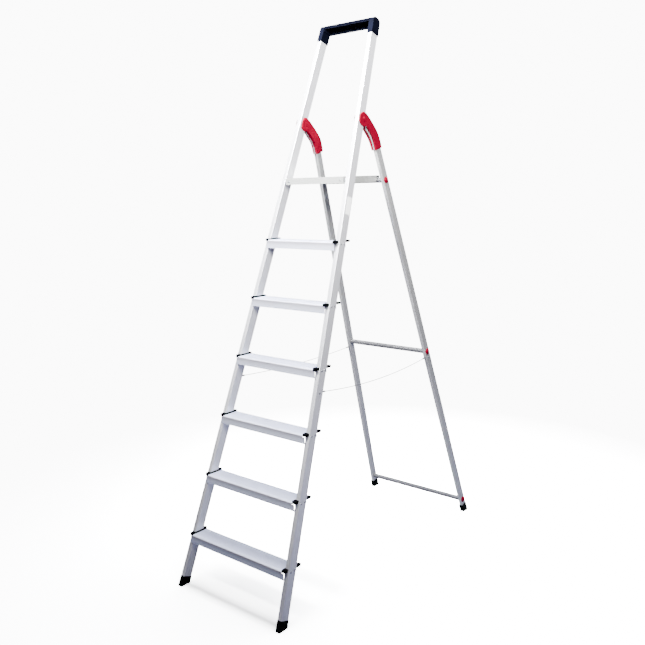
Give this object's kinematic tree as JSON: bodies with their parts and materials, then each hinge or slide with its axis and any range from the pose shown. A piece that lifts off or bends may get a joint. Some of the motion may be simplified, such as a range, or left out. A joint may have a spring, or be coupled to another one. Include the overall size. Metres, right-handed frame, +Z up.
{
  "type": "step ladder",
  "caption": "Free-standing folding platform step ladder with ribbed treads, hinged rear frame, restraint cords and a top handle.",
  "frame": {"origin": "on the floor, at the centre of the rectangle that the four feet stand in", "axes": "+Z up, +X to the climber's right, +Y from the treads towards the rear legs"},
  "size_m": [0.5756, 1.3522, 2.2608],
  "materials": {
    "aluminium_rail": "satin_extruded",
    "aluminium_tread": "ribbed_extruded",
    "aluminium_bar": "drawn",
    "aluminium_platform": "satin_extruded",
    "black_plastic": "fine_moulded",
    "red_plastic": "moulded",
    "zinc_steel": "zinc_plated",
    "nylon": "machined",
    "cord": "braided",
    "sleeve": "crimped",
    "label": "plain"
  },
  "bodies": {
    "front_frame": {"cord_anchors_front": "zinc_steel", "cord_sleeves_front": "sleeve", "front_foot_left": "black_plastic", "front_foot_right": "black_plastic", "hinge_bushes": "nylon", "platform_pivots": "zinc_steel", "restraint_cord_left": "cord", "restraint_cord_right": "cord", "side_label": "label", "stile_left": "aluminium_rail", "stile_right": "aluminium_rail", "top_handle": "black_plastic", "tread_1": "aluminium_tread", "tread_2": "aluminium_tread", "tread_3": "aluminium_tread", "tread_4": "aluminium_tread", "tread_5": "aluminium_tread", "tread_6": "aluminium_tread", "tread_cap_1_left": "black_plastic", "tread_cap_1_right": "black_plastic", "tread_cap_2_left": "black_plastic", "tread_cap_2_right": "black_plastic", "tread_cap_3_left": "black_plastic", "tread_cap_3_right": "black_plastic", "tread_cap_4_left": "black_plastic", "tread_cap_4_right": "black_plastic", "tread_cap_5_left": "black_plastic", "tread_cap_5_right": "black_plastic", "tread_cap_6_left": "black_plastic", "tread_cap_6_right": "black_plastic", "tread_screws_left": "zinc_steel", "tread_screws_right": "zinc_steel"},
    "rear_frame": {"cord_anchors_rear": "zinc_steel", "cord_sleeves_rear": "sleeve", "crossbar_bottom": "aluminium_bar", "crossbar_caps_bottom": "red_plastic", "crossbar_caps_middle": "red_plastic", "crossbar_caps_top": "red_plastic", "crossbar_middle": "aluminium_bar", "crossbar_top": "aluminium_bar", "hinge_arm_left": "aluminium_rail", "hinge_arm_right": "aluminium_rail", "hinge_bolts": "zinc_steel", "hinge_cover_inner_left": "red_plastic", "hinge_cover_inner_right": "red_plastic", "hinge_cover_outer_left": "red_plastic", "hinge_cover_outer_right": "red_plastic", "leg_rivets": "zinc_steel", "rear_foot_left": "black_plastic", "rear_foot_right": "black_plastic", "rear_leg_left": "aluminium_rail", "rear_leg_right": "aluminium_rail"},
    "platform": {"platform_deck": "aluminium_platform", "platform_lip": "aluminium_platform", "platform_lip_bolts": "zinc_steel", "platform_side_left": "aluminium_platform", "platform_side_right": "aluminium_platform"}
  },
  "joints": [
    {"name": "rear_fold", "type": "hinge", "parent": "front_frame", "child": "rear_frame", "pos_m": [0, 0.0513, 1.8505], "axis": [-1, 0, 0], "range_deg": [0, 36], "deforming": ["restraint_cord_right", "restraint_cord_left"]},
    {"name": "platform_fold", "type": "hinge", "parent": "front_frame", "child": "platform", "pos_m": [0, -0.05162, 1.614], "axis": [1, 0, 0], "range_deg": [0, 68.5]}
  ],
  "couplings": [
    {"joint": "platform_fold", "follows": "rear_fold", "ratio": 1.9}
  ]
}
